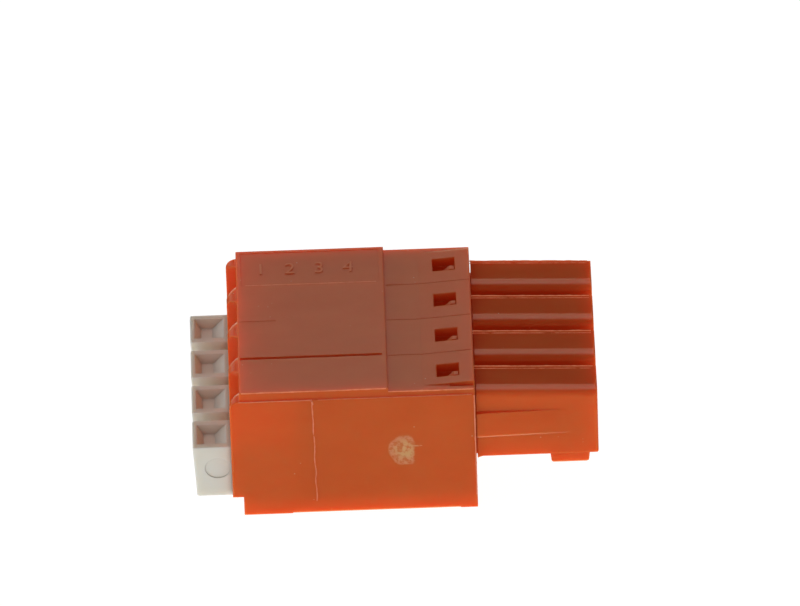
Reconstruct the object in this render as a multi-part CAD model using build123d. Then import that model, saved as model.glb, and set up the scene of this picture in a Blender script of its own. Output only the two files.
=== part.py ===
"""Pluggable terminal block with four push-in poles, as separate pieces.

+X runs from the wire end to the mating end and +Z is up. The origin is at the middle of
the whole block's footprint, on its underside. Lengths are in millimetres.
"""
import os

from build123d import *

# Poles
pole_count = 4
pitch = 3.81

# The three lengths that make up the block
pusher_proud = 2.68
housing_length = 17.08
mating_length = 8.52

# Housing, outside
end_wall = 0.48
ledge_roof = 0.68
cover_rise = 0.41
plate_rise = 0.31
cover_inset = 0.085
plate_setback = 0.72
plate_end_setback = 6.0
plate_round = 0.12
wall_corner_radius = 0.75
edge_round = 0.1
step_inset = 0.76
step_height = 1.64
foot_length = 3.4
foot_height = 0.1
rim_length = 1.2

# Housing, marks moulded into the plate and the cover
panel_depth = 0.05
panel_border = 0.35
panel_width = 3.53
panel_far_inset = 0.28
groove_width = 0.28
groove_depth = 0.14
groove_offset = 0.2
line_width = 0.07
line_depth = 0.05
plate_line_length = 2.7

# Housing, spring tongue over the catches
tongue_length = 3.6
tongue_rise = 0.3
tongue_inset = 0.55
slot_length = 1.7
slot_width = 0.2
window_length = 1.55
window_width = 1.3
window_centre = 1.81
rim_round = 0.08

# Housing, inside
partition_wall = 0.6
floor_thickness = 1.34
cover_thickness = 0.59
channel_length = 4.7
nest_depth = 3.5
wire_bore_radius = 1.15
bore_floor = 1.61
funnel_depth = 2.5
funnel_width = 3.1
funnel_height = 3.8
funnel_rise = 0.45
funnel_corner = 0.9
throat_margin = 0.05

# Plug front
seam = 0.08
snap_clearance = 0.05
mating_inset = 0.3
cavity_underwall = 1.44
cavity_roof = 0.3
rib_far_rise = 0.87
rib_crest_rise = 1.44
rib_taper = 0.36
rib_far_offset = 1.4
rib_crest_radius = 0.65
rib_far_round = 0.1
tip_round = 0.3
tip_chamfer_length = 0.13
tip_chamfer_height = 0.45
plug_edge_round = 0.15
face_wall = 1.2
cavity_width = 2.3
cavity_drop = 1.75
cavity_height = 2.65
pin_hole = 1.5
pin_lead_in = 0.35
guide_rise = 0.25
guide_length = 6.4
guide_height = 2.1
guide_lift = 0.56
root_length = 0.5
root_height = 0.2
nose_height = 0.8
nose_start = 5.15
nose_length = 2.75
nose_width = 3.2
nose_inset = 0.12
nose_slope = 0.08
nose_round = 0.2
pocket_depth = 1.1
catch_length = 1.1
catch_top_length = 0.3
catch_side_gap = 0.1
catch_width = 0.35
catch_height = 0.78
catch_clearance = 0.06

# Pusher
pusher_width = 2.88
pusher_height = 4.4
pusher_clearance = 0.05
pusher_travel = 1.5
pusher_slant = 0.2
pusher_edge = 0.12
pusher_body_length = 4.28
pusher_nose_length = 2.05
pusher_nose_height = 1.43
pusher_nose_radius = 0.3
pit_margin = 0.32
pit_length = 2.05
pit_side_margin = 0.4
pit_floor_margin = 0.45
pit_floor_length = 0.8
pit_floor_width = 1.4
pit_depth = 0.6
ejector_radius = 0.9
ejector_depth = 0.05
ejector_offset = 0.97
ejector_rise = 2.5
lug_length = 0.8
lug_width = 1.2
lug_height = 0.45
lug_offset = 2.48

# Clamp spring
spring_thickness = 0.3
spring_side_gap = 0.5
spring_loop_radius = 1.0
spring_lean = 68
spring_nose_gap = 0.1
spring_tip_gap = 0.25
spring_floor_gap = 0.06
spring_tail_gap = 0.2
spring_bend_radius = 0.4

# Contact: a current bar over the wire, a web that stops it, and the pin socket
sheet = 0.4
bar_end_gap = 0.83
bar_bend_radius = 0.5
web_offset = 0.65
contact_clearance = 0.1
socket_start = 1.0
socket_end_gap = 0.42
socket_pinch = 0.8
socket_pinch_share = 0.78
socket_flare = 0.2

# How far a cut runs past what it cuts, and how near an edge counts as found
overrun = 1.0
match_distance = 0.05

# Places that follow from the sizes
total_length = pusher_proud + housing_length + mating_length
shoulder_x = total_length / 2 - mating_length
wire_end_x = shoulder_x - housing_length
tip_x = total_length / 2
plate_x = wire_end_x + plate_setback
plate_end_x = shoulder_x - plate_end_setback
channel_end_x = wire_end_x + channel_length
nest_x = shoulder_x - nest_depth
outer_pole = (pole_count - 1) / 2 * pitch
chamber_width = pitch - partition_wall
half_nest = outer_pole + chamber_width / 2
half_housing = half_nest + end_wall
half_cover = half_housing - cover_inset
half_tongue = half_cover - tongue_inset
half_mating = half_housing - mating_inset
pusher_floor = floor_thickness + pusher_clearance
pusher_top = pusher_floor + pusher_height
wire_bore_height = pusher_top + bore_floor + wire_bore_radius
ledge_height = wire_bore_height + wire_bore_radius + ledge_roof
cover_height = ledge_height + cover_rise
plate_height = cover_height + plate_rise
ceiling_height = cover_height - cover_thickness
cavity_floor_height = ceiling_height - cavity_drop - cavity_height
mating_underside = cavity_floor_height - cavity_underwall
groove_floor_height = cavity_floor_height + cavity_height + cavity_roof
rib_far_height = groove_floor_height + rib_far_rise
rib_crest_height = groove_floor_height + rib_crest_rise
guide_floor_height = cavity_floor_height + guide_lift
window_x = shoulder_x - window_centre
catch_face_x = window_x + window_length / 2 - catch_clearance
pusher_end_x = wire_end_x - pusher_proud
lug_x = wire_end_x + lug_offset
nose_floor = pusher_top - pusher_nose_height
nose_x = wire_end_x + pusher_body_length + pusher_nose_length
bar_width = cavity_width - 2 * contact_clearance
base_floor = cavity_floor_height + contact_clearance
web_x = nest_x - web_offset
socket_x = shoulder_x + socket_start
socket_end_x = tip_x - face_wall - socket_end_gap
pinch_x = socket_x + (socket_end_x - socket_x) * socket_pinch_share


def pole_y(index):
    """Y of a pole's middle, counted from the far side."""
    return outer_pole - index * pitch


def block(x0, x1, y0, y1, z0, z1):
    """Box between two corners."""
    box = Box(x1 - x0, y1 - y0, z1 - z0)
    return Pos((x0 + x1) / 2, (y0 + y1) / 2, (z0 + z1) / 2) * box


def across(points, y0, y1):
    """Solid between two Y places, with an outline given as X and Z."""
    face = make_face(Plane.XZ.offset(-y0) * Polyline(*points, close=True))
    return extrude(face, amount=y1 - y0, dir=(0, 1, 0))


def upward(points, z0, z1):
    """Solid between two heights, with an outline given as X and Y."""
    face = make_face(Plane.XY.offset(z0) * Polyline(*points, close=True))
    return extrude(face, amount=z1 - z0, dir=(0, 0, 1))


def swept_strip(path, width, thickness):
    """Bent strip of sheet along its middle line, centred on Y."""
    section = Plane(origin=path @ 0, x_dir=(0, 1, 0), z_dir=path % 0) * Rectangle(width, thickness)
    return sweep(section, path=path)


def edges_near(solid, axis, x, z):
    """Edges along an axis whose middle lies nearest to an X and Z place, on every side."""
    edges = solid.edges().filter_by(axis)
    nearest = min(abs(e.center().X - x) + abs(e.center().Z - z) for e in edges)
    limit = nearest + match_distance
    return [e for e in edges if abs(e.center().X - x) + abs(e.center().Z - z) <= limit]


def edge_at(solid, place):
    """Edge whose middle lies nearest to a place."""
    return min(solid.edges(), key=lambda edge: (edge.center() - place).length)


def housing_shell():
    """Outside of the housing before anything is cut into it."""
    outline = [
        (wire_end_x, step_height),
        (wire_end_x, ledge_height),
        (shoulder_x, ledge_height),
        (shoulder_x, 0),
        (wire_end_x + step_inset, 0),
        (wire_end_x + step_inset, step_height),
    ]
    shell = across(outline, -half_housing, half_housing)
    shell = fillet(edges_near(shell, Axis.Y, wire_end_x, ledge_height), wall_corner_radius)
    side_edges = [e for e in shell.edges() if abs(abs(e.center().Y) - half_housing) < edge_round / 2]
    shell = fillet(side_edges, edge_round)
    cover = block(plate_x, shoulder_x, -half_cover, half_cover, ledge_height - edge_round, cover_height)
    cover_edges = cover.faces().sort_by(Axis.Z)[-1].edges()
    cover_edges = [e for e in cover_edges if e.center().X > plate_x + match_distance]
    shell += fillet(cover_edges, edge_round)
    plate = block(plate_x, plate_end_x, -half_cover, half_cover, ledge_height - edge_round, plate_height)
    shell += fillet(plate.faces().sort_by(Axis.Z)[-1].edges(), plate_round)
    ramp = [
        (shoulder_x - tongue_length, cover_height),
        (shoulder_x, cover_height + tongue_rise),
        (shoulder_x, cover_height - edge_round),
        (shoulder_x - tongue_length, cover_height - edge_round),
    ]
    tongue = across(ramp, -half_tongue, half_tongue)
    tongue_end = edges_near(tongue, Axis.Y, shoulder_x, cover_height + tongue_rise)
    shell += fillet(tongue_end, edge_round)
    return shell


def underside_recess():
    """Shallow hollow between the foot at the wire end and the rim at the shoulder."""
    start_x = wire_end_x + step_inset + foot_length
    return block(start_x, shoulder_x - rim_length, -half_housing - overrun, half_housing + overrun,
                 -overrun, foot_height)


def plate_marks():
    """Bare marking panel, parting groove and pole lines in the top surfaces."""
    top = plate_height + overrun
    x0 = plate_x + panel_border
    x1 = plate_end_x - panel_border
    far_panel_y = half_cover - panel_far_inset
    groove_y = pole_y(pole_count - 1) + pitch / 2 - groove_offset
    marks = block(x0, x1, far_panel_y - panel_width, far_panel_y, plate_height - panel_depth, top)
    marks += block(plate_x + plate_round, x1, groove_y - groove_width / 2, groove_y + groove_width / 2,
                   plate_height - groove_depth, top)
    line = [
        (plate_end_x + line_width, cover_height - line_depth),
        (shoulder_x - tongue_length, cover_height - line_depth),
        (shoulder_x + overrun, cover_height + tongue_rise * (1 + overrun / tongue_length) - line_depth),
        (shoulder_x + overrun, top),
        (plate_end_x + line_width, top),
    ]
    for index in range(pole_count - 1):
        y = pole_y(index) - pitch / 2
        marks += across(line, y - line_width / 2, y + line_width / 2)
    marks += block(plate_x + plate_round, plate_x + plate_line_length, -line_width / 2, line_width / 2,
                   plate_height - line_depth, top)
    return marks


def tongue_cuts():
    """Slots beside the tongue and a window over each catch."""
    top = plate_height + overrun
    cuts = None
    for side in (-1, 1):
        y = side * (half_tongue + slot_width / 2)
        slot = block(shoulder_x - slot_length, shoulder_x + overrun, y - slot_width / 2, y + slot_width / 2,
                     ceiling_height - overrun, top)
        cuts = slot if cuts is None else cuts + slot
    for index in range(pole_count):
        cuts += Pos(0, pole_y(index), 0) * window(ceiling_height - overrun, top)
    return cuts


def window(z0, z1):
    """Space over one catch, centred on Y, between two heights."""
    x0 = window_x - window_length / 2
    return block(x0, x0 + window_length, -window_width / 2, window_width / 2, z0, z1)


def funnel():
    """Flared mouth that leads the wire into its bore."""
    mouth_height = wire_bore_height + funnel_rise
    throat_x = wire_end_x + funnel_depth
    throat_radius = wire_bore_radius + throat_margin
    mouth_plane = Plane(origin=(wire_end_x, 0, mouth_height), x_dir=(0, 1, 0), z_dir=(1, 0, 0))
    throat_plane = Plane(origin=(throat_x, 0, wire_bore_height), x_dir=(0, 1, 0), z_dir=(1, 0, 0))
    mouth = mouth_plane * RectangleRounded(funnel_width, funnel_height, funnel_corner)
    throat = throat_plane * RectangleRounded(2 * throat_radius, 2 * throat_radius, wire_bore_radius)
    return loft([mouth, throat], ruled=True)


def pole_space():
    """All that is hollow in the housing for one pole, centred on Y."""
    half_channel = pusher_width / 2 + pusher_clearance
    half_chamber = chamber_width / 2
    channel_top = pusher_top + pusher_clearance
    bore_length = channel_end_x - wire_end_x
    space = block(wire_end_x - overrun, channel_end_x + overrun, -half_channel, half_channel,
                  floor_thickness, channel_top)
    space += block(channel_end_x, nest_x + overrun, -half_chamber, half_chamber,
                   floor_thickness, ceiling_height)
    bore = Plane(origin=(wire_end_x, 0, wire_bore_height), z_dir=(1, 0, 0)) * Circle(wire_bore_radius)
    space += extrude(bore, amount=bore_length + overrun)
    space += funnel()
    slot_x0 = lug_x - pusher_clearance
    slot_x1 = lug_x + lug_length + pusher_travel + pusher_clearance
    half_slot = lug_width / 2 + pusher_clearance
    slot_floor = pusher_floor - lug_height - pusher_clearance
    space += block(slot_x0, slot_x1, -half_slot, half_slot, slot_floor, pusher_top)
    return space


def housing():
    """Main moulding with its funnels, channels, chambers, windows and tongue."""
    body = housing_shell() - underside_recess() - plate_marks() - tongue_cuts()
    space = pole_space()
    for index in range(pole_count):
        body -= Pos(0, pole_y(index), 0) * space
    body -= block(nest_x, shoulder_x + overrun, -half_nest, half_nest, floor_thickness, ceiling_height)
    return fillet(window_rims(body), rim_round)


def window_rims(body):
    """Upper edges of every window in the tongue."""
    reach_x = window_length / 2 + match_distance
    reach_y = window_width / 2 + match_distance
    top_edges = [e for e in body.edges() if e.center().Z > cover_height]
    top_edges = [e for e in top_edges if abs(e.center().X - window_x) < reach_x]
    rims = []
    for index in range(pole_count):
        y = pole_y(index)
        rims += [e for e in top_edges if abs(e.center().Y - y) < reach_y]
    return rims


def rib(index):
    """Leaning rib over one pole of the mating section, lower at the tip than at the shoulder."""
    y = pole_y(index)
    near_y = y - (half_mating - outer_pole)
    far_y = y + rib_far_offset
    x0 = shoulder_x + seam
    top = rib_crest_height + rib_taper
    bar = block(x0, tip_x, near_y, far_y, groove_floor_height - plug_edge_round, top)
    tip_crest = Vector(tip_x, near_y, rib_crest_height)
    along_crest = tip_crest - Vector(x0, near_y, top)
    down_roof = Vector(tip_x, far_y, rib_far_height) - tip_crest
    roof = Plane(origin=tip_crest, x_dir=along_crest, z_dir=along_crest.cross(down_roof))
    bar = split(bar, bisect_by=roof, keep=Keep.BOTTOM)
    middle_x = (x0 + tip_x) / 2
    crest = edge_at(bar, Vector(middle_x, near_y, rib_crest_height + rib_taper / 2))
    bar = fillet(crest, rib_crest_radius)
    far_edge = edge_at(bar, Vector(middle_x, far_y, rib_far_height + rib_taper / 2))
    return fillet(far_edge, rib_far_round)


def mating_body():
    """Outside of the mating section, with its ribs, tip chamfer and latch noses."""
    x0 = shoulder_x + seam
    body = block(x0, tip_x, -half_mating, half_mating, mating_underside, groove_floor_height)
    long_edges = body.edges().filter_by(Axis.X).group_by(Axis.Z)[0]
    body = fillet(long_edges, plug_edge_round)
    for index in range(pole_count):
        body += rib(index)
    root = [
        (x0, mating_underside + plug_edge_round),
        (x0, mating_underside - root_height),
        (x0 + root_length, mating_underside),
        (x0 + root_length, mating_underside + plug_edge_round),
    ]
    body += across(root, -half_mating + plug_edge_round, half_mating - plug_edge_round)
    above = overrun / tip_chamfer_height
    tip_cut = [
        (tip_x - tip_chamfer_length * (1 + above), rib_crest_height + overrun),
        (tip_x, rib_crest_height - tip_chamfer_height),
        (tip_x + overrun, rib_crest_height - tip_chamfer_height),
        (tip_x + overrun, rib_crest_height + overrun),
    ]
    body -= across(tip_cut, -half_mating - overrun, half_mating + overrun)
    nose = latch_nose()
    nose_y = half_mating - nose_inset - nose_width / 2
    for side in (-1, 1):
        body += Pos(0, side * nose_y, 0) * nose
        body -= tip_corner(side)
    return body


def latch_nose():
    """Nose under the mating section that catches in the header, centred on Y."""
    start_x = shoulder_x + nose_start
    end_x = start_x + nose_length
    outline = [
        (start_x, mating_underside + plug_edge_round),
        (start_x, mating_underside),
        (start_x + nose_slope, mating_underside - nose_height),
        (end_x - nose_slope, mating_underside - nose_height),
        (end_x, mating_underside),
        (end_x, mating_underside + plug_edge_round),
    ]
    nose = across(outline, -nose_width / 2, nose_width / 2)
    return fillet(nose.edges().filter_by(Axis.Y).group_by(Axis.Z)[0], nose_round)


def tip_corner(side):
    """What the rounding takes off one upright corner of the mating face."""
    z0 = mating_underside - nose_height - overrun
    z1 = rib_crest_height + overrun
    centre_x = tip_x - tip_round
    centre_y = side * (half_mating - tip_round)
    y0, y1 = sorted((centre_y, side * (half_mating + overrun)))
    corner = block(centre_x, tip_x + overrun, y0, y1, z0, z1)
    round_bar = Pos(centre_x, centre_y, (z0 + z1) / 2) * Cylinder(tip_round, z1 - z0 + overrun)
    return corner - round_bar


def spigot():
    """Part of the plug front that fills the housing's open end, with its catches."""
    half_spigot = half_nest - snap_clearance
    z0 = floor_thickness + snap_clearance
    z1 = ceiling_height - snap_clearance
    body = block(nest_x + snap_clearance, shoulder_x - seam, -half_spigot, half_spigot, z0, z1)
    body += block(shoulder_x - seam - plug_edge_round, shoulder_x + seam + plug_edge_round, -half_spigot,
                  half_spigot, mating_underside + plug_edge_round, groove_floor_height)
    outline = [
        (catch_face_x, z1 - pocket_depth),
        (catch_face_x, z1 + catch_height),
        (catch_face_x - catch_top_length, z1 + catch_height),
        (catch_face_x - catch_length, z1),
        (catch_face_x - catch_length, z1 - pocket_depth),
    ]
    near_side = -window_width / 2 + catch_side_gap
    catch = across(outline, near_side, near_side + catch_width)
    for index in range(pole_count):
        body -= Pos(0, pole_y(index), 0) * window(z1 - pocket_depth, z1 + overrun)
        body += Pos(0, pole_y(index), 0) * catch
    return body


def pin_entry():
    """Square hole with a lead-in through the mating face, for one header pin."""
    height = cavity_floor_height + cavity_height / 2
    hole = block(tip_x - face_wall - overrun, tip_x + overrun, -pin_hole / 2, pin_hole / 2,
                 height - pin_hole / 2, height + pin_hole / 2)
    inner = Plane(origin=(tip_x - pin_lead_in, 0, height), x_dir=(0, 1, 0), z_dir=(1, 0, 0))
    outer = Plane(origin=(tip_x, 0, height), x_dir=(0, 1, 0), z_dir=(1, 0, 0))
    wide = pin_hole + 2 * pin_lead_in
    lead_in = loft([inner * Rectangle(pin_hole, pin_hole), outer * Rectangle(wide, wide)], ruled=True)
    return hole + lead_in


def plug_front():
    """Ribbed mating section with its contact cavities, snapped into the housing."""
    body = mating_body() + spigot()
    cavity_top = cavity_floor_height + cavity_height
    cavity = block(nest_x - overrun, tip_x - face_wall, -cavity_width / 2, cavity_width / 2,
                   cavity_floor_height, cavity_top)
    entry = pin_entry()
    for index in range(pole_count):
        body -= Pos(0, pole_y(index), 0) * cavity
        body -= Pos(0, pole_y(index), 0) * entry
    for side in (-1, 1):
        body += guide(side)
    return body


def guide(side):
    """Wedge on one side of the mating section that centres it in the header."""
    x0 = shoulder_x + seam
    wedge = [
        (x0, side * (half_mating - plug_edge_round)),
        (x0, side * (half_mating + guide_rise)),
        (x0 + guide_length, side * half_mating),
        (x0 + guide_length, side * (half_mating - plug_edge_round)),
    ]
    return upward(wedge, guide_floor_height, guide_floor_height + guide_height)


def pusher():
    """Release button of one pole, centred on Y, with its pit, nose and retaining lug."""
    half_width = pusher_width / 2
    body_x1 = wire_end_x + pusher_body_length
    outline = [
        (pusher_end_x, pusher_top),
        (nose_x, pusher_top),
        (nose_x, nose_floor),
        (body_x1, nose_floor),
        (body_x1, pusher_floor),
        (pusher_end_x + pusher_slant, pusher_floor),
    ]
    body = across(outline, -half_width, half_width)
    body = fillet(edges_near(body, Axis.Y, nose_x, nose_floor), pusher_nose_radius)
    outer_face = body.faces().sort_by(Axis.X)[0]
    body = fillet(outer_face.edges(), pusher_edge)
    pit_x0 = pusher_end_x + pit_margin
    rim = Plane.XY.offset(pusher_top) * Pos(pit_x0 + pit_length / 2, 0) * Rectangle(
        pit_length, pusher_width - 2 * pit_side_margin)
    floor_x = pit_x0 + pit_floor_margin + pit_floor_length / 2
    floor = Plane.XY.offset(pusher_top - pit_depth) * Pos(floor_x, 0) * Rectangle(
        pit_floor_length, pit_floor_width)
    body -= loft([rim, floor], ruled=True)
    ejector_x = wire_end_x - ejector_offset
    ejector_plane = Plane(origin=(ejector_x, -half_width, pusher_floor + ejector_rise), z_dir=(0, 1, 0))
    body -= extrude(ejector_plane * Circle(ejector_radius), amount=ejector_depth)
    body += block(lug_x, lug_x + lug_length, -lug_width / 2, lug_width / 2,
                  pusher_floor - lug_height, pusher_floor)
    return body


def clamp_spring():
    """Leaf spring of one pole, centred on Y: tail, floor leg, loop and clamping leg."""
    floor_z = floor_thickness + spring_floor_gap + spring_thickness / 2
    loop_z = floor_z + spring_loop_radius
    lean = Vector(1, 0).rotate(Axis.Z, spring_lean)
    leave_z = loop_z + spring_loop_radius * lean.X
    face_x = nose_x + spring_nose_gap + spring_thickness / 2 / lean.Y
    leave_x = face_x - (nose_floor - leave_z) * lean.X / lean.Y
    loop_x = leave_x + spring_loop_radius * lean.Y
    tip_z = ceiling_height - contact_clearance - sheet - spring_tip_gap
    tip_x_place = leave_x + (tip_z - leave_z) * lean.X / lean.Y
    tail_x = web_x - spring_thickness
    bend_z = floor_z + spring_bend_radius
    tail = Line((tail_x, base_floor - spring_tail_gap), (tail_x, bend_z))
    bend = CenterArc((tail_x - spring_bend_radius, bend_z), spring_bend_radius, 0, -90)
    floor_leg = Line((tail_x - spring_bend_radius, floor_z), (loop_x, floor_z))
    loop = CenterArc((loop_x, loop_z), spring_loop_radius, -90, -(180 - spring_lean))
    clamp_leg = Line((leave_x, leave_z), (tip_x_place, tip_z))
    runs = [tail, bend, floor_leg, loop, clamp_leg]
    width = chamber_width - 2 * spring_side_gap
    return swept_strip(Plane.XZ * Wire([run.edge() for run in runs]), width, spring_thickness)


def socket_arm(side):
    """One pinching arm of the pin socket."""
    outer = bar_width / 2
    pinch_y = socket_pinch / 2
    mouth_y = pinch_y + socket_flare
    outline = [
        (socket_x, side * (outer - sheet)),
        (pinch_x, side * pinch_y),
        (socket_end_x, side * mouth_y),
        (socket_end_x, side * (mouth_y + sheet)),
        (pinch_x, side * (pinch_y + sheet)),
        (socket_x, side * outer),
    ]
    return upward(outline, base_floor, base_floor + cavity_height - 2 * contact_clearance)


def contact():
    """Current bar of one pole, centred on Y, with the web and the pin socket."""
    bar_z = ceiling_height - contact_clearance - sheet / 2
    base_z = base_floor + sheet / 2
    points = [
        (channel_end_x + bar_end_gap, bar_z),
        (web_x, bar_z),
        (web_x, base_z),
        (socket_x + sheet, base_z),
    ]
    path = Plane.XZ * FilletPolyline(*points, radius=[bar_bend_radius, bar_bend_radius])
    body = swept_strip(path, bar_width, sheet)
    wide = (bar_width - sheet) / 2
    narrow = (socket_pinch + sheet) / 2
    base = [(socket_x, -wide), (pinch_x, -narrow), (pinch_x, narrow), (socket_x, wide)]
    body += upward(base, base_floor, base_floor + sheet)
    return body + socket_arm(-1) + socket_arm(1)


def save(shape, name):
    """Write one piece to its own file."""
    export_step(shape, "parts/" + name + ".step")


def main():
    """Make every piece of the block."""
    os.makedirs("parts", exist_ok=True)
    save(housing(), "housing")
    save(plug_front(), "plug_front")
    pole_parts = {"pusher": pusher(), "clamp_spring": clamp_spring(), "contact": contact()}
    for name, shape in pole_parts.items():
        for index in range(pole_count):
            save(Pos(0, pole_y(index), 0) * shape, name + "_" + str(index + 1))


main()
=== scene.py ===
"""Looks of a four-pole pluggable terminal block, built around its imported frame.

Everything is in metres in the frame of the solids: +X to the mating end, +Z up, origin in the
middle of the footprint. Each sub-assembly is a class, each finish a frozen dataclass.
"""

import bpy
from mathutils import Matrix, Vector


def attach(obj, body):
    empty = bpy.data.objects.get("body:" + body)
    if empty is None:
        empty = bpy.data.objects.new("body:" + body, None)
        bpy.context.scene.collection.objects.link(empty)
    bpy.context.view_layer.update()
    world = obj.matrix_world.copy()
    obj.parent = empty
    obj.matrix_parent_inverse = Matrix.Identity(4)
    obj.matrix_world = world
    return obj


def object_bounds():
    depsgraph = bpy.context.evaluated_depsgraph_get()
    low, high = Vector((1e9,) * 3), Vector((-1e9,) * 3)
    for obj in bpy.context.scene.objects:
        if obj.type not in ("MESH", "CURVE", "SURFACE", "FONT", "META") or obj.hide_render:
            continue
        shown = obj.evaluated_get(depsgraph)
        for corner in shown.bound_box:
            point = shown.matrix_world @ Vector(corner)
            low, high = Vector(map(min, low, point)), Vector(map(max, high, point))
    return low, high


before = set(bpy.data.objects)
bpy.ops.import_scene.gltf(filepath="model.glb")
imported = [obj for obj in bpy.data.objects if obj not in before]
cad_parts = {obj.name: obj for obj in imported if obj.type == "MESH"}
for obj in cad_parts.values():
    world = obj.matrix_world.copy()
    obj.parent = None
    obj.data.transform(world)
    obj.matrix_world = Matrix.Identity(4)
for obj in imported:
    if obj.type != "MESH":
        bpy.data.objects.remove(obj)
CAD_BOUNDS = [list(corner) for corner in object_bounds()]

import logging
import math
from dataclasses import dataclass, field
from enum import Enum

import bmesh
import bpy
from mathutils import Matrix, Vector

MM = 0.001
LOG = logging.getLogger("terminal_block")
POLE_COUNT = 4
PITCH = 3.81 * MM
LOW = Vector(CAD_BOUNDS[0])
HIGH = Vector(CAD_BOUNDS[1])
# Nearly all of a noise pattern lies between these two values.
NOISE_ENDS = (0.3, 0.7)
# How strong each finer layer of a noise pattern is beside the one before it.
LAYER_STRENGTH = 0.55
# A Mix node names its sockets alike for every kind of value, so its colour sockets go by number.
MIX_FIRST = 6
MIX_SECOND = 7
MIX_RESULT = 2

Colour = tuple[float, float, float, float]
Point = tuple[float, float, float]
Pair = tuple[float, float]


class Slot(Enum):
    """Material slots, by name."""

    NYLON = "orange_nylon"
    BUTTON = "grey_polyamide"
    SPRING = "spring_steel"
    CONTACT = "tinned_copper"


class Socket(Enum):
    """Kinds of input that a geometry tree may have."""

    LENGTH = "NodeSocketFloat"
    COUNT = "NodeSocketInt"
    PLACE = "NodeSocketVector"
    WORDS = "NodeSocketString"


def to_linear(hex_colour: str) -> Colour:
    """Turn an sRGB hex colour into linear light.

    Args:
        hex_colour: six hex digits, with or without a leading hash.

    Returns:
        Red, green and blue in linear light, with an alpha of 1.
    """
    digits = hex_colour.lstrip("#")
    linear = []
    for place in (0, 2, 4):
        value = int(digits[place:place + 2], 16) / 255
        linear.append(value / 12.92 if value <= 0.04045 else ((value + 0.055) / 1.055) ** 2.4)
    return (linear[0], linear[1], linear[2], 1.0)


def add_node(tree: bpy.types.NodeTree, kind: str, settings: dict | None = None,
             inputs: dict | None = None) -> bpy.types.Node:
    """Add a node with its settings, values and links.

    Args:
        tree: the node tree that gets the node.
        kind: the node's type name.
        settings: attributes of the node, by name.
        inputs: input values or output sockets to link, by the input's name or number.

    Returns:
        The new node.
    """
    node = tree.nodes.new(kind)
    for name, value in (settings or {}).items():
        setattr(node, name, value)
    for key, value in (inputs or {}).items():
        socket = node.inputs[key]
        if isinstance(value, bpy.types.NodeSocket):
            tree.links.new(value, socket)
        else:
            socket.default_value = value
    return node


def new_material(name: str) -> tuple[bpy.types.Material, bpy.types.NodeTree, bpy.types.Node]:
    """Make an empty node material with its output.

    Args:
        name: the material's name.

    Returns:
        The material, its tree and its output node.
    """
    material = bpy.data.materials.new(name)
    material.use_nodes = True
    tree = material.node_tree
    tree.nodes.clear()
    output = add_node(tree, "ShaderNodeOutputMaterial")
    return material, tree, output


def object_coordinates(tree: bpy.types.NodeTree, stretch: Point) -> bpy.types.NodeSocket:
    """Coordinates fixed to the piece, stretched along its axes.

    Args:
        tree: the material's tree.
        stretch: scale along X, Y and Z.

    Returns:
        The mapped coordinates' socket.
    """
    coordinates = add_node(tree, "ShaderNodeTexCoord")
    mapping = add_node(tree, "ShaderNodeMapping", {}, {
        "Vector": coordinates.outputs["Object"], "Scale": stretch,
    })
    return mapping.outputs["Vector"]


def noise(tree: bpy.types.NodeTree, size: float, stretch: Point = (1.0, 1.0, 1.0),
          detail: float = 3.0) -> bpy.types.NodeSocket:
    """Cloudy pattern of one size, drawn out along the axes.

    Args:
        tree: the material's tree.
        size: how wide one cloud is, in metres.
        stretch: scale along X, Y and Z; below 1 draws the clouds out.
        detail: how many finer layers it has.

    Returns:
        The pattern's value, around a half.
    """
    cloud = add_node(tree, "ShaderNodeTexNoise", {}, {
        "Vector": object_coordinates(tree, stretch), "Scale": 1 / size, "Detail": detail,
        "Roughness": LAYER_STRENGTH,
    })
    return cloud.outputs["Fac"]


def remap(tree: bpy.types.NodeTree, value: bpy.types.NodeSocket, low: float, high: float,
          to_low: float = 0.0, to_high: float = 1.0) -> bpy.types.NodeSocket:
    """Spread a value between two ends, held at both.

    Args:
        tree: the material's tree.
        value: the value to spread.
        low: where it starts.
        high: where it ends.
        to_low: what it is at the start.
        to_high: what it is at the end.

    Returns:
        The new value's socket.
    """
    spread = add_node(tree, "ShaderNodeMapRange", {}, {
        "Value": value, "From Min": low, "From Max": high, "To Min": to_low, "To Max": to_high,
    })
    return spread.outputs["Result"]


def blend(tree: bpy.types.NodeTree, share: bpy.types.NodeSocket, first: object,
          second: object) -> bpy.types.NodeSocket:
    """Mix two colours.

    Args:
        tree: the material's tree.
        share: how much of the second colour shows.
        first: a colour or its socket.
        second: a colour or its socket.

    Returns:
        The mixed colour's socket.
    """
    mixed = add_node(tree, "ShaderNodeMix", {"data_type": "RGBA"}, {
        "Factor": share, MIX_FIRST: first, MIX_SECOND: second,
    })
    return mixed.outputs[MIX_RESULT]


def arithmetic(tree: bpy.types.NodeTree, operation: str, first: object,
               second: object) -> bpy.types.NodeSocket:
    """Join two values by one sum.

    Args:
        tree: the tree.
        operation: the sum's name, such as ADD.
        first: a number or its socket.
        second: a number or its socket.

    Returns:
        The result's socket.
    """
    result = add_node(tree, "ShaderNodeMath", {"operation": operation}, {0: first, 1: second})
    return result.outputs["Value"]


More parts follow.
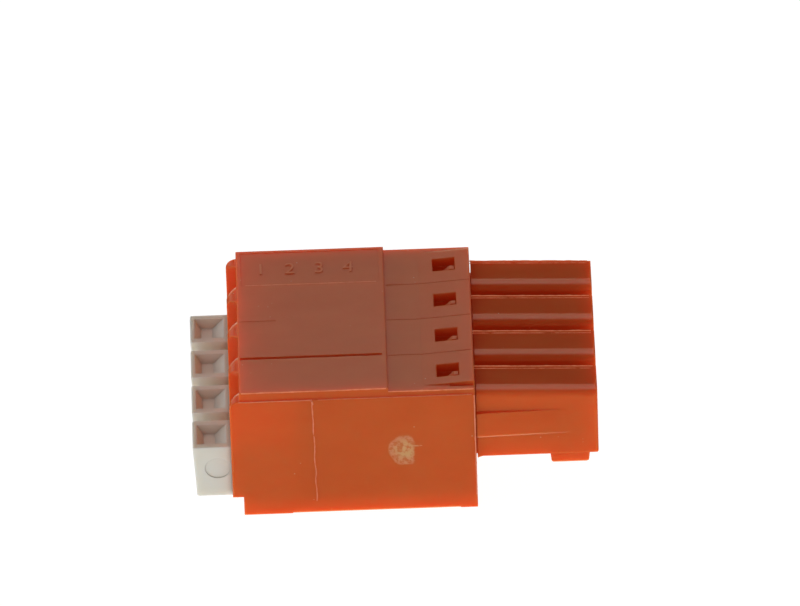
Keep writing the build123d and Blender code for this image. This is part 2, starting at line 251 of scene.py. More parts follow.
@dataclass(frozen=True)
class MouldedPlastic:
    """Injection-moulded plastic, satin, with flow marks and light that enters a little; it may also carry
    a painted glow and painted shade in its recesses.
    """

    name: str
    colour: str
    deep_colour: str
    roughness: float
    gloss_spread: float
    ior: float
    specular: float
    subsurface: float
    subsurface_reach: Point
    edge_radius: float
    skin_size: float
    skin_depth: float
    wave_size: float
    wave_depth: float
    flow_size: float
    mottle_size: float
    dust_colour: str
    dust_spacing: float = 0.9 * MM
    dust_share: float = 0.07
    dust_cover: float = 0.55
    dust_patches: Pair = (0.5, 0.56)
    mottle_stretch: Point = (0.6, 1.0, 1.0)
    flow_stretch: Point = (0.4, 1.0, 1.0)
    skin_stretch: Point = (0.5, 1.0, 1.0)
    # Painted shade: how strongly the recesses darken, to which colour, and over what reach of ambient
    # occlusion.
    grime: float = 0.0
    grime_colour: str = "#4E463B"
    grime_reach: float = 0.4 * MM
    grime_fade: Pair = (0.35, 0.95)
    # Painted glow: an emission that stands in for light shining out through the plastic.
    painted_glow: float = 0.0
    painted_glow_colour: str = "#FF5618"
    samples: int = 6

    def build(self) -> bpy.types.Material:
        """Make the material.

        Returns:
            The finished material.
        """
        material, tree, output = new_material(self.name)
        shader = add_node(tree, "ShaderNodeBsdfPrincipled", {}, {
            "Base Color": self.base_colour(tree),
            "Roughness": self.gloss(tree),
            "IOR": self.ior,
            "Specular IOR Level": self.specular,
            "Subsurface Weight": self.subsurface,
            "Subsurface Radius": self.subsurface_reach,
            "Subsurface Scale": MM,
            "Normal": self.skin_normal(tree),
            # Painted glow: the plastic emits light although it is not a lamp.
            "Emission Color": to_linear(self.painted_glow_colour),
            "Emission Strength": self.painted_glow,
        })
        tree.links.new(shader.outputs["BSDF"], output.inputs["Surface"])
        return material

    def base_colour(self, tree: bpy.types.NodeTree) -> bpy.types.NodeSocket:
        """Colour with soft clouds and single specks of dust.

        Args:
            tree: the material's tree.

        Returns:
            The colour's socket.
        """
        share = remap(tree, noise(tree, self.mottle_size, self.mottle_stretch, 4.0), *NOISE_ENDS)
        plain = blend(tree, share, to_linear(self.deep_colour), to_linear(self.colour))
        dusty = blend(tree, self.dust(tree), plain, to_linear(self.dust_colour))
        # Painted shade: the recesses darken where ambient occlusion is high.
        return self.painted_recess_shade(tree, dusty) if self.grime > 0 else dusty

    def painted_recess_shade(self, tree: bpy.types.NodeTree, unshaded: bpy.types.NodeSocket) -> bpy.types.NodeSocket:
        """Paint shade into the recesses: darker where ambient occlusion finds walls close by.

        Args:
            tree: the material's tree.
            unshaded: the colour before the painted shade.

        Returns:
            The colour's socket.
        """
        nook = add_node(tree, "ShaderNodeAmbientOcclusion", {"samples": self.samples}, {
            "Distance": self.grime_reach,
        })
        share = remap(tree, nook.outputs["AO"], *self.grime_fade, self.grime, 0.0)
        return blend(tree, share, unshaded, to_linear(self.grime_colour))

    def dust(self, tree: bpy.types.NodeTree) -> bpy.types.NodeSocket:
        """Where single specks of pale dust lie, far apart.

        Args:
            tree: the material's tree.

        Returns:
            A socket that says how far a speck covers the plastic: 0 beside the specks.
        """
        cells = add_node(tree, "ShaderNodeTexVoronoi", {}, {
            "Vector": object_coordinates(tree, (1.0, 1.0, 1.0)), "Scale": 1 / self.dust_spacing,
        })
        heart = 0.6 * self.dust_share
        speck = remap(tree, cells.outputs["Distance"], heart, self.dust_share, self.dust_cover, 0.0)
        kept = remap(tree, noise(tree, 3 * self.dust_spacing), *self.dust_patches)
        return arithmetic(tree, "MULTIPLY", speck, kept)

    def gloss(self, tree: bpy.types.NodeTree) -> bpy.types.NodeSocket:
        """Roughness with dull and bright streaks where the melt ran.

        Args:
            tree: the material's tree.

        Returns:
            The roughness's socket.
        """
        streak = noise(tree, self.flow_size, self.flow_stretch, 2.0)
        bright = self.roughness - self.gloss_spread
        dull = self.roughness + self.gloss_spread
        return remap(tree, streak, *NOISE_ENDS, bright, dull)

    def skin_normal(self, tree: bpy.types.NodeTree) -> bpy.types.NodeSocket:
        """Skin of the mould: fine grain on soft shrinkage waves, with eased edges.

        The real grain is finer than a pixel, so it is drawn coarser, at skin_size, to show.

        Args:
            tree: the material's tree.

        Returns:
            The bumped normal's socket.
        """
        soft_edge = add_node(tree, "ShaderNodeBevel", {"samples": self.samples}, {
            "Radius": self.edge_radius,
        })
        waves = add_node(tree, "ShaderNodeBump", {}, {
            "Strength": 1.0,
            "Distance": self.wave_depth,
            "Height": noise(tree, self.wave_size, self.skin_stretch, 1.0),
            "Normal": soft_edge.outputs["Normal"],
        })
        skin = add_node(tree, "ShaderNodeBump", {}, {
            "Strength": 1.0,
            "Distance": self.skin_depth,
            "Height": noise(tree, self.skin_size, self.skin_stretch, 2.0),
            "Normal": waves.outputs["Normal"],
        })
        return skin.outputs["Normal"]


@dataclass(frozen=True)
class RubbedMark:
    """A tan patch where something rubbed the near side face: an oval, cut off upright on its right."""

    rim_colour: str
    heart_colour: str
    centre: Point
    half_width: float
    half_height: float
    cut_share: float
    edge_wobble: float
    depth: float
    grain: float
    rim_fade: Pair = (0.92, 1.04)
    cut_fade: Pair = (-0.05, 0.07)
    heart_fade: Pair = (0.35, 0.85)
    patch_fade: Pair = (0.4, 0.54)
    thinnest: float = 0.25

    def offset(self, tree: bpy.types.NodeTree) -> bpy.types.Node:
        """Place within the patch, from its middle.

        Args:
            tree: the material's tree.

        Returns:
            A node with the place's X, Y and Z.
        """
        coordinates = add_node(tree, "ShaderNodeTexCoord")
        place = add_node(tree, "ShaderNodeVectorMath", {"operation": "SUBTRACT"}, {
            0: coordinates.outputs["Object"], 1: self.centre,
        })
        return add_node(tree, "ShaderNodeSeparateXYZ", {}, {"Vector": place.outputs["Vector"]})

    def paint(self, tree: bpy.types.NodeTree, under: bpy.types.NodeSocket) -> bpy.types.NodeSocket:
        """Lay the patch over a colour.

        Args:
            tree: the material's tree.
            under: the colour around the patch.

        Returns:
            The colour with the patch on it.
        """
        parts = self.offset(tree)
        aside = arithmetic(tree, "DIVIDE", parts.outputs["X"], self.half_width)
        upright = arithmetic(tree, "DIVIDE", parts.outputs["Z"], self.half_height)
        flat = add_node(tree, "ShaderNodeCombineXYZ", {}, {"X": aside, "Y": upright})
        reach = add_node(tree, "ShaderNodeVectorMath", {"operation": "LENGTH"}, {
            0: flat.outputs["Vector"],
        })
        clouds = noise(tree, 2 * self.grain, detail=5.0)
        ragged = remap(tree, clouds, *NOISE_ENDS, -self.edge_wobble, self.edge_wobble)
        edge = arithmetic(tree, "ADD", reach.outputs["Value"], ragged)
        inside = remap(tree, edge, *self.rim_fade, 1.0, 0.0)
        cut = arithmetic(tree, "ADD", aside, ragged)
        cut_start, cut_end = (self.cut_share + change for change in self.cut_fade)
        left = remap(tree, cut, cut_start, cut_end, 1.0, 0.0)
        near = remap(tree, parts.outputs["Y"], self.depth, 2 * self.depth, 1.0, 0.0)
        patchy = remap(tree, noise(tree, self.grain, detail=4.0), *self.patch_fade, self.thinnest, 1.0)
        share = inside
        for factor in (left, near, patchy):
            share = arithmetic(tree, "MULTIPLY", share, factor)
        heart = remap(tree, edge, *self.heart_fade, 1.0, 0.0)
        tan = blend(tree, heart, to_linear(self.rim_colour), to_linear(self.heart_colour))
        return blend(tree, share, under, tan)


@dataclass(frozen=True)
class ScuffedPlastic(MouldedPlastic):
    """The same moulding with rubbed marks on a side face."""

    marks: tuple[RubbedMark, ...] = ()

    def base_colour(self, tree: bpy.types.NodeTree) -> bpy.types.NodeSocket:
        """Moulded colour with the rubbed marks laid over it.

        Args:
            tree: the material's tree.

        Returns:
            The colour's socket.
        """
        colour = super().base_colour(tree)
        for mark in self.marks:
            colour = mark.paint(tree, colour)
        return colour


@dataclass(frozen=True)
class StripMetal:
    """Rolled metal strip with fine lines along the rolling direction."""

    name: str
    colour: str
    roughness: float
    line_size: float
    line_depth: float = 0.001 * MM
    line_stretch: Point = (0.05, 1.0, 0.05)
    sheen_change: float = 1.25

    def build(self) -> bpy.types.Material:
        """Make the material.

        Returns:
            The finished material.
        """
        material, tree, output = new_material(self.name)
        lines = noise(tree, self.line_size, self.line_stretch)
        bump = add_node(tree, "ShaderNodeBump", {}, {
            "Strength": 1.0, "Distance": self.line_depth, "Height": lines,
        })
        bright = self.roughness / self.sheen_change
        dull = self.roughness * self.sheen_change
        shader = add_node(tree, "ShaderNodeBsdfPrincipled", {}, {
            "Base Color": to_linear(self.colour),
            "Metallic": 1.0,
            "Roughness": remap(tree, lines, *NOISE_ENDS, bright, dull),
            "Normal": bump.outputs["Normal"],
        })
        tree.links.new(shader.outputs["BSDF"], output.inputs["Surface"])
        return material


@dataclass
class GeometryRecipe:
    """A Geometry Nodes tree with named inputs, run once into a plain mesh."""

    name: str
    inputs: dict[str, tuple[Socket, object]]
    keys: dict[str, str] = field(default_factory=dict)

    def __post_init__(self) -> None:
        """Open the tree with its inputs and its output."""
        self.tree = bpy.data.node_groups.new(self.name, "GeometryNodeTree")
        face = self.tree.interface
        face.new_socket(name="Geometry", in_out="OUTPUT", socket_type="NodeSocketGeometry")
        for label, (kind, _) in self.inputs.items():
            made = face.new_socket(name=label, in_out="INPUT", socket_type=kind.value)
            self.keys[label] = made.identifier
        self.source = add_node(self.tree, "NodeGroupInput")

    def given(self, label: str) -> bpy.types.NodeSocket:
        """One named input of the tree, to link from."""
        return self.source.outputs[label]

    def close(self, geometry: bpy.types.NodeSocket, material: bpy.types.Material) -> None:
        """End the tree with real geometry in one material.

        Args:
            geometry: the socket that holds the result.
            material: its finish.
        """
        solid = add_node(self.tree, "GeometryNodeRealizeInstances", {}, {"Geometry": geometry})
        painted = add_node(self.tree, "GeometryNodeSetMaterial", {}, {
            "Geometry": solid.outputs["Geometry"], "Material": material,
        })
        add_node(self.tree, "NodeGroupOutput", {}, {"Geometry": painted.outputs["Geometry"]})

    def piece(self, name: str, changes: dict[str, object] | None = None) -> bpy.types.Object:
        """Run the tree and keep its result as one plain mesh.

        Args:
            name: the new piece's name.
            changes: values that this piece has instead of the tree's own, by label.

        Returns:
            The piece, with no modifier left on it.
        """
        piece = link_piece(name, bpy.data.meshes.new(name))
        modifier = piece.modifiers.new(self.name, "NODES")
        modifier.node_group = self.tree
        for label, (_, value) in self.inputs.items():
            modifier[self.keys[label]] = (changes or {}).get(label, value)
        graph = bpy.context.evaluated_depsgraph_get()
        mesh = bpy.data.meshes.new_from_object(piece.evaluated_get(graph))
        piece.modifiers.clear()
        piece.data = mesh
        return piece


def link_piece(name: str, mesh: bpy.types.Mesh) -> bpy.types.Object:
    """Put a mesh into the scene as a piece at the origin.

    Args:
        name: the piece's name.
        mesh: its mesh.

    Returns:
        The piece.
    """
    piece = bpy.data.objects.new(name, mesh)
    bpy.context.scene.collection.objects.link(piece)
    return piece


def mount(piece: bpy.types.Object, body: str) -> None:
    """Tie a new piece to its body.

    Args:
        piece: the piece.
        body: the body that it rides on.
    """
    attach(piece, body)
    LOG.info("piece %s on %s, %d faces", piece.name, body, len(piece.data.polygons))


def dress_node(name: str, finish: bpy.types.Material) -> None:
    """Give a node of the frame its finish.

    Args:
        name: the node.
        finish: its material.
    """
    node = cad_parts[name]
    for place in node.material_slots:
        place.material = finish
    LOG.info("node %s in %s", name, finish.name)


@dataclass
class HousingShell:
    """The main moulding: funnels, plate, tongue with windows, side walls."""

    node: str = "housing"

    def build(self, finish: bpy.types.Material) -> None:
        """Dress the shell in the orange plastic with its marks."""
        dress_node(self.node, finish)


@dataclass(frozen=True)
class FlashLine:
    """One fine raised line along an edge, from end to end: either flash that a parting edge of the mould
    left, or a bead that carries a painted highlight.
    """

    name: str
    start: Point
    end: Point
    radius: float
    wobble: float = 0.06 * MM
    on_side: bool = False


@dataclass
class FlashLines:
    """Every parting line and edge flash that shows, as thin wandering beads of plastic; the beads on the
    edges are partly painted highlight.
    """

    body: str = "housing"
    swell: float = 1.7
    swell_fineness: float = 4.0
    drift_size: float = 1.3 * MM
    step: float = 0.09 * MM
    section_sides: int = 8
    side_y: float = LOW.y
    side_top: float = 10.2 * MM
    side_foot: float = 1.1 * MM
    parting_x: float = -5.64 * MM
    parting_lean: float = 0.04 * MM
    blob_x: Pair = (-5.72 * MM, -5.66 * MM)
    blob_z: Pair = (10.28 * MM, 9.95 * MM)
    end_x: float = 5.57 * MM
    end_lift: float = 0.1 * MM
    ledge_z: float = 10.35 * MM
    ledge_x: Pair = (-10.8 * MM, -5.7 * MM)
    ledge_end_x: Pair = (-5.3 * MM, 5.4 * MM)
    cover_y: float = -7.69 * MM
    cover_z: float = 10.77 * MM
    plate_z: float = HIGH.z - 0.04 * MM
    plate_x: Pair = (-10.6 * MM, -0.53 * MM)
    panel_x: Pair = (-10.2 * MM, -0.95 * MM)
    panel_y: float = 3.9 * MM
    panel_z: float = HIGH.z - 0.01 * MM
    shoulder_x: float = 5.55 * MM
    rib_gap: float = 0.1 * MM
    rib_tip_x: float = HIGH.x - 0.24 * MM
    rib_far_offset: float = 1.36 * MM
    rib_far_z: float = 9.62 * MM
    rib_second: float = 0.3 * MM
    rib_taper: float = 0.36 * MM
    roof_slope: float = 0.175

    def side_line(self, name: str, start: Pair, end: Pair, radius: float, wobble: float) -> FlashLine:
        """One line on the near side face.

        Args:
            name: its name.
            start: X and Z of its first end.
            end: X and Z of its other end.
            radius: its radius.
            wobble: how far it wanders.

        Returns:
            The line.
        """
        first = (start[0], self.side_y, start[1])
        last = (end[0], self.side_y, end[1])
        return FlashLine(name, first, last, radius, wobble, True)

    def side_lines(self) -> list[FlashLine]:
        """Lay out the lines on the near side face.

        Returns:
            The parting line with its thick head, the line by the shoulder and the two along the ledge.
        """
        parting_top = (self.parting_x - self.parting_lean, self.side_top)
        parting_foot = (self.parting_x + self.parting_lean, self.side_foot)
        blob_top, blob_foot = zip(self.blob_x, self.blob_z)
        end_top = (self.end_x, self.side_top + self.end_lift)
        end_foot = (self.end_x, self.side_foot + self.end_lift)
        ledge = [(x, self.ledge_z) for x in self.ledge_x]
        ledge_end = [(x, self.ledge_z) for x in self.ledge_end_x]
        return [
            self.side_line("parting_line", parting_top, parting_foot, 0.043 * MM, 0.22 * MM),
            self.side_line("parting_blob", blob_top, blob_foot, 0.07 * MM, 0.06 * MM),
            # The line by the shoulder and the two along the ledge are partly painted highlight on those
            # edges.
            self.side_line("end_line", end_top, end_foot, 0.05 * MM, 0.03 * MM),
            self.side_line("ledge_line", *ledge, 0.038 * MM, 0.06 * MM),
            self.side_line("ledge_line_end", *ledge_end, 0.024 * MM, 0.06 * MM),
        ]

    def top_lines(self) -> list[FlashLine]:
        """Lay out the lines along the edges of plate, cover and panel.

        Returns:
            The three lines.
        """
        # These beads get the pale, glowing finish: painted highlight along the edges.
        plate = [(x, self.cover_y, self.plate_z) for x in self.plate_x]
        cover = [(x, self.cover_y, self.cover_z) for x in (self.plate_x[1], self.shoulder_x)]
        panel = [(x, self.panel_y, self.panel_z) for x in self.panel_x]
        return [
            FlashLine("plate_line", *plate, 0.034 * MM),
            FlashLine("cover_line", *cover, 0.036 * MM),
            FlashLine("panel_line", *panel, 0.02 * MM),
        ]

    def rib_lines(self) -> list[FlashLine]:
        """Lay out the lines on the mating section's ribs, whose roofs fall towards the tip.

        Returns:
            Two lines for each rib: one on its far edge and a thinner one beside it.
        """
        # These beads get the pale, glowing finish: painted highlight along the ribs' far edges.
        beads = (("rib_line", 0.0, 0.05 * MM), ("rib_second_line", self.rib_second, 0.03 * MM))
        laid = []
        for pole in range(POLE_COUNT):
            edge_y = ((POLE_COUNT - 1) / 2 - pole) * PITCH + self.rib_far_offset
            for name, inset, radius in beads:
                y = edge_y - inset
                z = self.rib_far_z + inset * self.roof_slope
                start = (self.shoulder_x + self.rib_gap, y, z + self.rib_taper)
                laid.append(FlashLine(f"{name}_{pole + 1}", start, (self.rib_tip_x, y, z), radius))
        return laid

    def build(self, flash_with_painted_glow: bpy.types.Material, rim: bpy.types.Material) -> None:
        """Build and mount every line.

        Args:
            flash_with_painted_glow: the thin, paler plastic of the lines on the side, with a painted
                glow; some of these lines are painted highlight on edges.
            rim: the painted highlight on an edge on top: pale plastic with a strong glow.
        """
        recipes = {True: self.recipe(flash_with_painted_glow), False: self.recipe(rim)}
        for line in self.side_lines() + self.top_lines() + self.rib_lines():
            recipe = recipes[line.on_side]
            length = (Vector(line.end) - Vector(line.start)).length
            piece = recipe.piece(line.name, {
                "Start": line.start,
                "End": line.end,
                "Radius": line.radius,
                "Steps": round(length / self.step),
                "Wobble": line.wobble,
            })
            mount(piece, self.body)

    def recipe(self, flash_with_painted_glow: bpy.types.Material) -> GeometryRecipe:
        """Tree that draws one line: a straight run, shifted and swollen by smooth noise.

        Args:
            flash_with_painted_glow: its finish.

        Returns:
            The recipe.
        """
        recipe = GeometryRecipe("flash_line", {
            "Start": (Socket.PLACE, (0.0, 0.0, 0.0)),
            "End": (Socket.PLACE, (MM, 0.0, 0.0)),
            "Radius": (Socket.LENGTH, 0.03 * MM),
            "Steps": (Socket.COUNT, 90),
            "Wobble": (Socket.LENGTH, 0.06 * MM),
            "Swell": (Socket.LENGTH, self.swell),
            "Drift size": (Socket.LENGTH, self.drift_size),
        })
        tree = recipe.tree
        run = add_node(tree, "GeometryNodeCurvePrimitiveLine", {}, {
            "Start": recipe.given("Start"), "End": recipe.given("End"),
        })
        steps = add_node(tree, "GeometryNodeResampleCurve", {}, {
            "Curve": run.outputs["Curve"], "Count": recipe.given("Steps"),
        })
        scale = arithmetic(tree, "DIVIDE", 1.0, recipe.given("Drift size"))
        drift = add_node(tree, "ShaderNodeTexNoise", {}, {"Scale": scale, "Detail": 3.0})
        shift = add_node(tree, "ShaderNodeVectorMath", {"operation": "SUBTRACT"}, {
            0: drift.outputs["Color"], 1: (0.5, 0.5, 0.5),
        })
        offset = add_node(tree, "ShaderNodeVectorMath", {"operation": "SCALE"}, {
            0: shift.outputs["Vector"], "Scale": recipe.given("Wobble"),
        })
        path = add_node(tree, "GeometryNodeSetPosition", {}, {
            "Geometry": steps.outputs["Curve"], "Offset": offset.outputs["Vector"],
        })
        rough = add_node(tree, "ShaderNodeTexNoise", {}, {
            "Scale": arithmetic(tree, "MULTIPLY", scale, self.swell_fineness), "Detail": 2.0,
        })
        centred = arithmetic(tree, "SUBTRACT", rough.outputs["Fac"], 0.5)
        change = arithmetic(tree, "MULTIPLY", centred, recipe.given("Swell"))
        swell = arithmetic(tree, "ADD", change, 1.0)
        section = add_node(tree, "GeometryNodeCurvePrimitiveCircle", {}, {
            "Resolution": self.section_sides, "Radius": recipe.given("Radius"),
        })
        bead = add_node(tree, "GeometryNodeCurveToMesh", {}, {
            "Curve": path.outputs["Geometry"], "Profile Curve": section.outputs["Curve"],
            "Scale": swell, "Fill Caps": True,
        })
        recipe.close(bead.outputs["Mesh"], flash_with_painted_glow)
        return recipe


@dataclass
class PoleNumerals:
    """Raised pole numbers in the bare marking panel over the far pole."""

    body: str = "housing"
    words: str = "1 2 3 4"
    size: float = 1.6 * MM
    spacing: float = 1.5
    rise: float = 0.075 * MM
    left: float = -9.4 * MM
    base_y: float = 5.1 * MM
    floor: float = HIGH.z - 0.05 * MM
    weld: float = 0.0001 * MM

    def build(self, finish: bpy.types.Material) -> None:
        """Build and mount the numerals.

        Args:
            finish: the lighter, faintly glowing orange plastic: a painted highlight.
        """
        recipe = GeometryRecipe("pole_numerals", {
            "Numbers": (Socket.WORDS, self.words),
            "Size": (Socket.LENGTH, self.size),
            "Spacing": (Socket.LENGTH, self.spacing),
            "Rise": (Socket.LENGTH, self.rise),
            "Place": (Socket.PLACE, (self.left, self.base_y, self.floor)),
        })
        tree = recipe.tree
        words = add_node(tree, "GeometryNodeStringToCurves", {}, {
            "String": recipe.given("Numbers"), "Size": recipe.given("Size"),
            "Character Spacing": recipe.given("Spacing"),
        })
        outlines = add_node(tree, "GeometryNodeRealizeInstances", {}, {
            "Geometry": words.outputs["Curve Instances"],
        })
        faces = add_node(tree, "GeometryNodeFillCurve", {"mode": "TRIANGLES"}, {
            "Curve": outlines.outputs["Geometry"],
        })
        raised = add_node(tree, "GeometryNodeExtrudeMesh", {}, {
            "Mesh": faces.outputs["Mesh"], "Offset Scale": recipe.given("Rise"), "Individual": False,
        })
        under = add_node(tree, "GeometryNodeFlipFaces", {}, {"Mesh": faces.outputs["Mesh"]})
        joined = add_node(tree, "GeometryNodeJoinGeometry")
        tree.links.new(raised.outputs["Mesh"], joined.inputs["Geometry"])
        tree.links.new(under.outputs["Mesh"], joined.inputs["Geometry"])
        closed = add_node(tree, "GeometryNodeMergeByDistance", {}, {
            "Geometry": joined.outputs["Geometry"], "Distance": self.weld,
        })
        placed = add_node(tree, "GeometryNodeTransform", {}, {
            "Geometry": closed.outputs["Geometry"], "Translation": recipe.given("Place"),
        })
        recipe.close(placed.outputs["Geometry"], finish)
        mount(recipe.piece("pole_numerals"), self.body)


@dataclass
class PlugFront:
    """The ribbed mating section that is snapped into the housing."""

    node: str = "plug_front"

    def build(self, finish: bpy.types.Material) -> None:
        """Dress the mating section in the orange plastic."""
        dress_node(self.node, finish)


@dataclass
class PusherBank:
    """The four release buttons, each on a body of its own."""

    count: int = POLE_COUNT

    def build(self, finish: bpy.types.Material) -> None:
        """Dress each button in the grey plastic."""
        for number in range(1, self.count + 1):
            dress_node(f"pusher_{number}", finish)


@dataclass
class PoleMetal:
    """The hidden metal of the poles: clamp springs and contacts."""

    count: int = POLE_COUNT

    def build(self, spring: bpy.types.Material, contact: bpy.types.Material) -> None:
        """Dress each pole's metal.

        Args:
            spring: the spring steel.
            contact: the tinned copper.
        """
        for number in range(1, self.count + 1):
            dress_node(f"clamp_spring_{number}", spring)
            dress_node(f"contact_{number}", contact)


def direction(azimuth_deg: float, elevation_deg: float) -> Vector:
    """Unit vector from the object: azimuth 0 is towards -Y, positive towards +X.

    Args:
        azimuth_deg: turn about Z.
        elevation_deg: height over the floor.

    Returns:
        The direction.
    """
    azimuth = math.radians(azimuth_deg)
    elevation = math.radians(elevation_deg)
    flat = math.cos(elevation)
    return Vector((math.sin(azimuth) * flat, -math.cos(azimuth) * flat, math.sin(elevation)))


@dataclass(frozen=True)
class PhotoCamera:
    """Camera fitted to the photograph by least squares, with no lens shift."""

    azimuth_deg: float = -0.15
    elevation_deg: float = 40.03
    roll_deg: float = -1.95
    distance: float = 1083.2 * MM
    target: Point = (0.666 * MM, 0.0, 12.312 * MM)
    lens_mm: float = 699.22
    sensor_mm: float = 36.0

    def build(self) -> None:
        """Make the camera and set it as the scene's camera."""
        roll = math.radians(self.roll_deg)
        back = direction(self.azimuth_deg, self.elevation_deg)
        right = (-back).cross(Vector((0, 0, 1))).normalized()
        up = right.cross(-back)
        turned_right = right * math.cos(roll) + up * math.sin(roll)
        turned_up = up * math.cos(roll) - right * math.sin(roll)
        data = bpy.data.cameras.new("photo_camera")
        data.lens = self.lens_mm
        data.sensor_width = self.sensor_mm
        data.sensor_fit = "HORIZONTAL"
        data.clip_start = 0.05
        data.clip_end = 20.0
        camera = bpy.data.objects.new("photo_camera", data)
        turn = Matrix((turned_right, turned_up, back)).transposed().to_4x4()
        camera.matrix_world = Matrix.Translation(Vector(self.target) + back * self.distance) @ turn
        bpy.context.scene.collection.objects.link(camera)
        bpy.context.scene.camera = camera


@dataclass(frozen=True)
class SoftLight:
    """One rectangular softbox, aimed at the object."""

    name: str
    azimuth_deg: float
    elevation_deg: float
    distance: float
    width: float
    height: float
    radiance: float
    colour: str = "#FFFFFF"
    mirrored: bool = True
    spread: bool = True

    def build(self, target: Vector) -> None:
        """Make the light.

        Args:
            target: the point that it faces.
        """
        away = direction(self.azimuth_deg, self.elevation_deg)
        data = bpy.data.lights.new(self.name, "AREA")
        data.shape = "RECTANGLE"
        data.size = self.width
        data.size_y = self.height
        data.energy = self.radiance * math.pi * self.width * self.height
        data.color = to_linear(self.colour)[:3]
        light = bpy.data.objects.new(self.name, data)
        light.visible_glossy = self.mirrored
        light.visible_diffuse = self.spread
        turn = away.to_track_quat("Z", "Y").to_matrix().to_4x4()
        light.matrix_world = Matrix.Translation(target + away * self.distance) @ turn
        bpy.context.scene.collection.objects.link(light)


@dataclass
class Studio:
    """Pale glowing table and soft light around the object."""

    floor_half: float = 3.0
    floor_colour: str = "#8C8B8A"
    floor_glow: float = 0.97
    floor_drop: float = 0.06 * MM
    wall_distance: float = 2.9
    wall_height: float = 6.0
    wall_sides: int = 96
    ambient: float = 0.045
    aim: Point = (0.0, 0.0, 5 * MM)
    # Name, azimuth and elevation in degrees, distance, width, height and radiance. The two warm strips
    # are only mirrored, for the sheen on the flat tops. The boxes without a mirror image only fill in.
    lights: tuple[SoftLight, ...] = (
        SoftLight("back_strip", 180, 49, 0.70, 0.40, 0.30, 1.63, "#FFEFD6", spread=False),
        SoftLight("overhead_strip", 180, 90, 0.70, 0.36, 0.62, 1.7, "#FFF6E4", spread=False),
        SoftLight("overhead_fill", -112, 54, 0.70, 0.40, 0.40, 1.4, mirrored=False),
        SoftLight("left_box", -90, 4, 0.60, 0.90, 0.40, 1.0, mirrored=False),
        SoftLight("right_box", 90, 4, 0.60, 0.90, 0.40, 1.03, mirrored=False),
        SoftLight("back_left", -138, 14, 0.80, 0.55, 0.50, 0.55),
        SoftLight("back_right", 138, 14, 0.80, 0.55, 0.50, 0.45),
        SoftLight("front_box", -6, 12, 0.70, 0.90, 0.26, 0.83, mirrored=False),
    )

    def build(self) -> None:
        """Make the backdrop, the table, the surrounding light and the softboxes."""
        self.build_backdrop()
        self.build_table()
        self.build_surroundings()
        for light in self.lights:
            light.build(Vector(self.aim))
        bpy.context.scene.view_settings.view_transform = "Standard"

    def build_backdrop(self) -> None:
        """Stand a round white wall far behind, which shows but sends no light to the object."""
        shape = bmesh.new()
        bmesh.ops.create_cone(
            shape, cap_ends=True, segments=self.wall_sides, radius1=self.wall_distance,
            radius2=self.wall_distance, depth=self.wall_height,
        )
        # White paper, lit evenly, so that it shows as plain white.
        wall = self.stage_piece("studio_backdrop", shape, "white_paper_backdrop", {
            "Base Color": (0.0, 0.0, 0.0, 1.0), "Roughness": 1.0, "Specular IOR Level": 0.0,
            "Emission Color": (1.0, 1.0, 1.0, 1.0), "Emission Strength": 1.0,
        })
        wall.visible_diffuse = False
        wall.visible_glossy = False
        wall.visible_transmission = False
        wall.visible_shadow = False

    def build_table(self) -> None:
        """Lay the table that the object stands on."""
        half = self.floor_half
        level = LOW.z - self.floor_drop
        shape = bmesh.new()
        spots = ((-half, -half), (half, -half), (half, half), (-half, half))
        shape.faces.new([shape.verts.new((x, y, level)) for x, y in spots])
        # Opal acrylic with a light under it: an even, shadowless white.
        floor = self.stage_piece("studio_floor", shape, "lit_acrylic_table", {
            "Base Color": to_linear(self.floor_colour), "Roughness": 0.9,
            "Emission Color": (1.0, 1.0, 1.0, 1.0), "Emission Strength": self.floor_glow,
        })
        floor.visible_glossy = False

    def stage_piece(self, name: str, shape: bmesh.types.BMesh, finish_name: str,
                    surface: dict[str, object]) -> bpy.types.Object:
        """Turn a shape into a piece of the studio, which isn't part of the object.

        Args:
            name: the piece's name.
            shape: its shape, which is freed.
            finish_name: its material's name.
            surface: inputs of the material's shader, by name.

        Returns:
            The piece.
        """
        mesh = bpy.data.meshes.new(name)
        shape.to_mesh(mesh)
        shape.free()
        material, tree, output = new_material(finish_name)
        shader = add_node(tree, "ShaderNodeBsdfPrincipled", {}, surface)
        tree.links.new(shader.outputs["BSDF"], output.inputs["Surface"])
        mesh.materials.append(material)
        piece = link_piece(name, mesh)
        return piece

    def build_surroundings(self) -> None:
        """Fill the room with a little even light, which no gloss mirrors."""
        world = bpy.data.worlds.new("studio_light")
        world.use_nodes = True
        background = world.node_tree.nodes["Background"]
        background.inputs["Color"].default_value = (1.0, 1.0, 1.0, 1.0)
        background.inputs["Strength"].default_value = self.ambient
        world.cycles_visibility.glossy = False
        bpy.context.scene.world = world


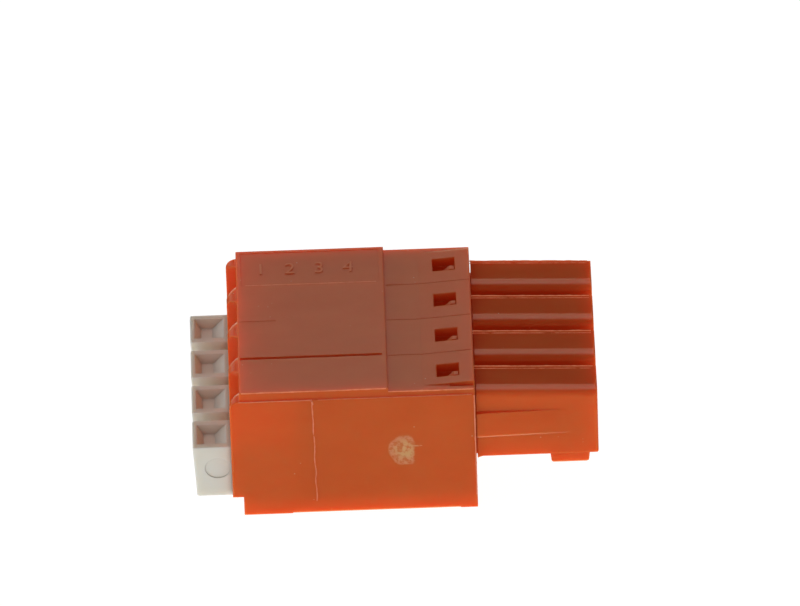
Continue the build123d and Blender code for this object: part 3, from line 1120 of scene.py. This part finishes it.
def orange_finishes() -> dict[str, bpy.types.Material]:
    """Make the finishes of the orange mouldings and of their thin lines.

    Returns:
        The materials, by what they are for.
    """
    # Glass-filled nylon from a polished mould: satin, with light that glows through thin walls, and a
    # faint red painted glow all over.
    orange = {
        "colour": "#E86E3B",
        "deep_colour": "#E46937",
        "roughness": 0.25,
        "gloss_spread": 0.012,
        "ior": 1.52,
        "specular": 0.45,
        "subsurface": 1.0,
        "subsurface_reach": (1.75, 0.72, 0.58),
        "edge_radius": 0.06 * MM,
        "skin_size": 0.14 * MM,
        "skin_depth": 0.0015 * MM,
        "wave_size": 1.6 * MM,
        "wave_depth": 0.012 * MM,
        "flow_size": 0.8 * MM,
        "mottle_size": 2.4 * MM,
        "dust_colour": "#F4C09A",
        # Painted glow: a faint red emission over the whole body.
        "painted_glow": 0.03,
    }
    scuff = RubbedMark(
        rim_colour="#F79F74", heart_colour="#F6B47F", centre=(0.667 * MM, LOW.y, 5.51 * MM),
        half_width=1.18 * MM, half_height=1.36 * MM, cut_share=0.5, edge_wobble=0.1, depth=0.15 * MM,
        grain=0.32 * MM,
    )
    tail = RubbedMark(
        rim_colour="#F6A274", heart_colour="#F6A274", centre=(1.5 * MM, LOW.y, 5.85 * MM),
        half_width=0.36 * MM, half_height=0.06 * MM, cut_share=1.5, edge_wobble=0.2, depth=0.15 * MM,
        grain=0.2 * MM,
    )
    # The same nylon where it is too thin for light to spread inside it.
    thin = {**orange, "subsurface": 0.0}
    rubbed = {**orange, "marks": (scuff, tail)}
    # Numerals in a lighter orange with a faint glow: a painted highlight on their edges and tops.
    numerals = {**thin, "colour": "#F08A5C", "deep_colour": "#EA7E50", "painted_glow": 0.05}
    # Flash squeezed out between the mould's halves: paler and duller than the wall that it stands on,
    # with a painted glow. Along the shoulder and the ledge, the paler beads are also painted highlight on
    # those edges.
    flash_with_painted_glow = {**thin, "colour": "#F09D7C", "deep_colour": "#E88E6A", "specular": 0.1, "painted_glow": 0.09}
    # Painted highlight: a pale bead with a strong glow along the top edges and the ribs' far edges, where
    # those edges catch the light.
    rim = {
        **thin, "colour": "#F8A37C", "deep_colour": "#F2946C", "specular": 0.3, "painted_glow": 0.22,
        "painted_glow_colour": "#FF9660",
    }
    return {
        "housing": ScuffedPlastic(name="glass_filled_nylon_rubbed", **rubbed).build(),
        "front": MouldedPlastic(name="glass_filled_nylon", **orange).build(),
        "numerals": MouldedPlastic(name="glass_filled_nylon_thin_painted_highlight", **numerals).build(),
        "flash_with_painted_glow": MouldedPlastic(name="glass_filled_nylon_flash_painted_glow", **flash_with_painted_glow).build(),
        "rim": MouldedPlastic(name="glass_filled_nylon_rim", **rim).build(),
    }


def other_finishes() -> dict[str, bpy.types.Material]:
    """Make the finishes of the buttons and of the metal inside.

    Returns:
        The materials, by what they are for.
    """
    return {
        # Light grey polyamide from a fine matt mould: a soft sheen, with painted shade darkening the
        # pits.
        "button": MouldedPlastic(
            name="grey_polyamide", colour="#F8F5EA", deep_colour="#F4F1E4", roughness=0.36,
            gloss_spread=0.02, ior=1.53, specular=0.5, subsurface=1.0, subsurface_reach=(0.3, 0.28, 0.26),
            edge_radius=0.06 * MM, skin_size=0.1 * MM, skin_depth=0.001 * MM, wave_size=1.5 * MM,
            wave_depth=0.008 * MM, flow_size=1.0 * MM, mottle_size=2.5 * MM, dust_colour="#E4DCCF",
            grime=0.36,
        ).build(),
        # Cold-rolled stainless strip: bright, with fine lines along the rolling direction.
        "spring": StripMetal(
            name="stainless_spring_strip", colour="#B9B7B2", roughness=0.28, line_size=0.05 * MM,
        ).build(),
        # Bronze strip with a matt tin plating: paler and duller.
        "contact": StripMetal(
            name="tin_plated_bronze", colour="#C9C6BE", roughness=0.35, line_size=0.06 * MM,
        ).build(),
    }


def main() -> None:
    """Build the studio, every sub-assembly and its finish, in order."""
    logging.basicConfig(level=logging.INFO, format="%(name)s: %(message)s")
    PhotoCamera().build()
    Studio().build()
    finish = orange_finishes() | other_finishes()
    HousingShell().build(finish["housing"])
    FlashLines().build(finish["flash_with_painted_glow"], finish["rim"])
    PoleNumerals().build(finish["numerals"])
    PlugFront().build(finish["front"])
    PusherBank().build(finish["button"])
    PoleMetal().build(finish["spring"], finish["contact"])


if __name__ == "__main__":
    main()
